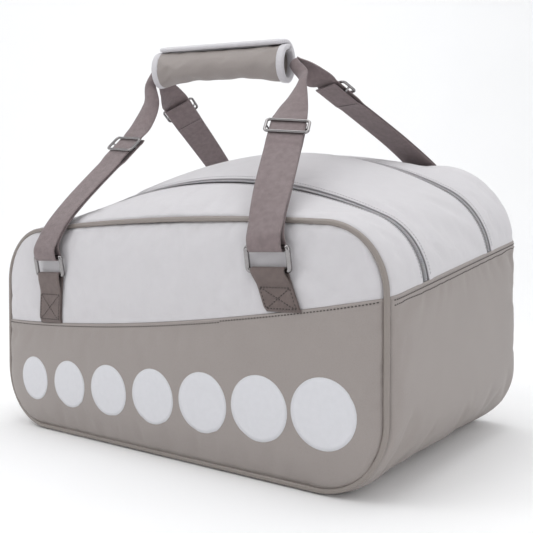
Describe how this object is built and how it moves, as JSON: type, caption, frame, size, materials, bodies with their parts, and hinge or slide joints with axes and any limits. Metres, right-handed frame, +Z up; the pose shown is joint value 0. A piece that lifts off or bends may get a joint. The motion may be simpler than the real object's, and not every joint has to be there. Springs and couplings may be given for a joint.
{
  "type": "paddle case",
  "caption": "Soft padel racket bag with two compartments, arched zipped top, webbing handles and a padded wrap grip.",
  "frame": {"origin": "middle of the bag's footprint, on the floor", "axes": "+Z up, +X to the right of the front panel, the front panel faces -Y"},
  "size_m": [0.5398, 0.3892, 0.4702],
  "materials": {
    "pale_fabric": "pale grey polyester, plain weave",
    "taupe_leather": "taupe synthetic leather, fine grain",
    "piping": "taupe piping, smooth",
    "webbing": "mauve-taupe twill webbing",
    "binding": "pale ribbed binding tape",
    "zip_tape": "grey woven tape",
    "coil": "grey nylon coil",
    "steel": "polished nickel-plated steel",
    "board": "polyethylene sheet",
    "lining": "grey lining over foam"
  },
  "bodies": {
    "root": {"anchor_tab_back_left": "webbing", "anchor_tab_back_right": "webbing", "anchor_tab_front_left": "webbing", "anchor_tab_front_right": "webbing", "back_panel_lower": "taupe_leather", "back_panel_upper": "pale_fabric", "back_zip_coil": "coil", "back_zip_tape_back": "zip_tape", "back_zip_tape_front": "zip_tape", "base_board": "board", "bottom_panel": "taupe_leather", "divider_panel": "lining", "front_panel_lower": "taupe_leather", "front_panel_upper": "pale_fabric", "front_piping": "piping", "front_zip_coil": "coil", "front_zip_tape_back": "zip_tape", "front_zip_tape_front": "zip_tape", "grip_binding_left": "binding", "grip_binding_right": "binding", "grip_loop_strip": "zip_tape", "grip_sleeve": "taupe_leather", "gusset_back": "pale_fabric", "gusset_front": "pale_fabric", "gusset_middle": "pale_fabric", "side_panel_left": "taupe_leather", "side_panel_right": "taupe_leather", "strap_back_in_grip": "webbing", "strap_back_left": "webbing", "strap_back_right": "webbing", "strap_front_in_grip": "webbing", "strap_front_left": "webbing", "strap_front_right": "webbing"},
    "front_slider": {"front_zip_slider": "steel"},
    "front_pull": {"front_zip_pull": "steel"},
    "back_slider": {"back_zip_slider": "steel"},
    "back_pull": {"back_zip_pull": "steel"},
    "ring_front_left": {"ring_front_left": "steel"},
    "glide_front_left": {"glide_front_left": "steel"},
    "ring_front_right": {"ring_front_right": "steel"},
    "glide_front_right": {"glide_front_right": "steel"},
    "ring_back_left": {"ring_back_left": "steel"},
    "glide_back_left": {"glide_back_left": "steel"},
    "ring_back_right": {"ring_back_right": "steel"},
    "glide_back_right": {"glide_back_right": "steel"},
    "flap": {"grip_flap": "taupe_leather", "grip_flap_binding": "binding", "grip_hook_strip": "zip_tape"}
  },
  "joints": [
    {"name": "front_zip_travel", "type": "hinge", "parent": "root", "child": "front_slider", "pos_m": [-0.18836, -0.1005, 0.17914], "axis": [0, 1, 0], "range_deg": [0, 60]},
    {"name": "front_pull_flip", "type": "hinge", "parent": "front_slider", "child": "front_pull", "pos_m": [-0.26963, -0.1005, 0.17914], "axis": [0, 1, 0], "range_deg": [0, 150]},
    {"name": "back_zip_travel", "type": "hinge", "parent": "root", "child": "back_slider", "pos_m": [-0.16847, 0.0755, 0.19978], "axis": [0, 1, 0], "range_deg": [0, 54]},
    {"name": "back_pull_flip", "type": "hinge", "parent": "back_slider", "child": "back_pull", "pos_m": [-0.27116, 0.0755, 0.19978], "axis": [0, 1, 0], "range_deg": [0, 150]},
    {"name": "ring_front_left_swivel", "type": "hinge", "parent": "root", "child": "ring_front_left", "pos_m": [-0.162, -0.18538, 0.186], "axis": [1, 0, 0], "range_deg": [-3.3, 3.3]},
    {"name": "glide_front_left_slide", "type": "slide", "parent": "root", "child": "glide_front_left", "axis": [0.1648, 0.6705, 0.7234], "range_m": [-0.008, 0.003]},
    {"name": "ring_front_right_swivel", "type": "hinge", "parent": "root", "child": "ring_front_right", "pos_m": [0.149, -0.18479, 0.196], "axis": [1, 0, 0], "range_deg": [-3.3, 3.3]},
    {"name": "glide_front_right_slide", "type": "slide", "parent": "root", "child": "glide_front_right", "axis": [-0.284, 0.6689, 0.687], "range_m": [-0.008, 0.003]},
    {"name": "ring_back_left_swivel", "type": "hinge", "parent": "root", "child": "ring_back_left", "pos_m": [-0.188, 0.18418, 0.276], "axis": [1, 0, 0], "range_deg": [-3.3, 3.3]},
    {"name": "glide_back_left_slide", "type": "slide", "parent": "root", "child": "glide_back_left", "axis": [0.2128, -0.8653, 0.4537], "range_m": [-0.008, 0.003]},
    {"name": "ring_back_right_swivel", "type": "hinge", "parent": "root", "child": "ring_back_right", "pos_m": [0.148, 0.18418, 0.276], "axis": [1, 0, 0], "range_deg": [-3.3, 3.3]},
    {"name": "glide_back_right_slide", "type": "slide", "parent": "root", "child": "glide_back_right", "axis": [-0.2408, -0.8874, 0.3931], "range_m": [-0.008, 0.003]},
    {"name": "grip_flap_open", "type": "hinge", "parent": "root", "child": "flap", "pos_m": [-0.11852, -0.03245, 0.45296], "axis": [-0.9856, -0.1533, 0.0712], "range_deg": [0, 100]}
  ]
}
